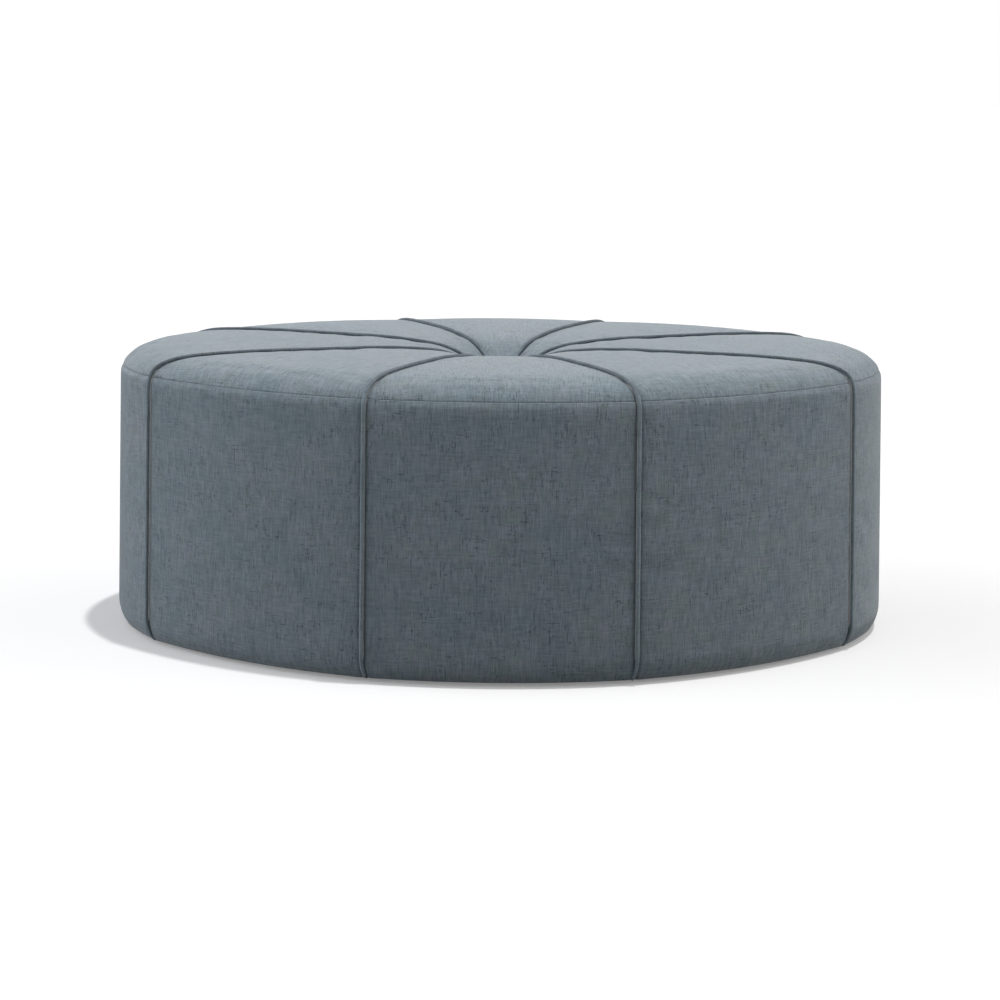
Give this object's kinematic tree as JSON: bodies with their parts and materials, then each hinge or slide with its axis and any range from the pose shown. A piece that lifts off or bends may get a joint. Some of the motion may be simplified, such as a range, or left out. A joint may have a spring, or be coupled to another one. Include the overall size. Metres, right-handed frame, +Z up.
{
  "type": "oval ottoman",
  "caption": "Low oval upholstered ottoman with a tufted centre, welted seams that fan out over the seat and down the wall, and a hidden board frame.",
  "frame": {"origin": "centre of the footprint, on the floor", "axes": "+X along the length, -Y towards the front, +Z up"},
  "size_m": [1.227, 0.813, 0.4477],
  "materials": {
    "cover_fabric": "slate blue linen-look weave with darker slubs",
    "welt_fabric": "the same linen-look fabric, cut on the bias over cord",
    "wadding": "white polyester wadding",
    "foam": "cream polyurethane foam",
    "wall_board": "bent hardboard",
    "plywood": "raw plywood",
    "softwood": "sawn softwood",
    "zinc_steel": "zinc plated steel",
    "twine": "waxed tufting twine",
    "twine_washer": "moulded plastic",
    "dust_cover": "black nonwoven",
    "glide_nylon": "black nylon"
  },
  "bodies": {
    "root": {"top_panel_front_left": "cover_fabric", "top_panel_front": "cover_fabric", "top_panel_front_right": "cover_fabric", "top_panel_right_end": "cover_fabric", "top_panel_back_right": "cover_fabric", "top_panel_back": "cover_fabric", "top_panel_back_left": "cover_fabric", "top_panel_left_end": "cover_fabric", "side_panel_front_left": "cover_fabric", "side_panel_front": "cover_fabric", "side_panel_front_right": "cover_fabric", "side_panel_right_end": "cover_fabric", "side_panel_back_right": "cover_fabric", "side_panel_back": "cover_fabric", "side_panel_back_left": "cover_fabric", "side_panel_left_end": "cover_fabric", "welt_front_left": "welt_fabric", "welt_front_right": "welt_fabric", "welt_right_front": "welt_fabric", "welt_right_back": "welt_fabric", "welt_back_right": "welt_fabric", "welt_back_left": "welt_fabric", "welt_left_back": "welt_fabric", "welt_left_front": "welt_fabric", "top_wadding": "wadding", "side_wadding_front": "wadding", "side_wadding_back": "wadding", "seat_foam": "foam", "side_foam_front": "foam", "side_foam_back": "foam", "wall_board_front": "wall_board", "wall_board_back": "wall_board", "deck_board": "plywood", "base_board": "plywood", "post_front_left": "softwood", "post_front_right": "softwood", "post_right_front": "softwood", "post_right_back": "softwood", "post_back_right": "softwood", "post_back_left": "softwood", "post_left_back": "softwood", "post_left_front": "softwood", "deck_rail_front": "softwood", "deck_rail_back": "softwood", "frame_screws": "zinc_steel", "center_button": "cover_fabric", "tuft_twine": "twine", "twine_washer": "twine_washer", "dust_cover": "dust_cover", "glides": "glide_nylon", "glide_nails": "zinc_steel", "cover_staples": "zinc_steel", "dust_cover_staples": "zinc_steel"}
  },
  "joints": []
}
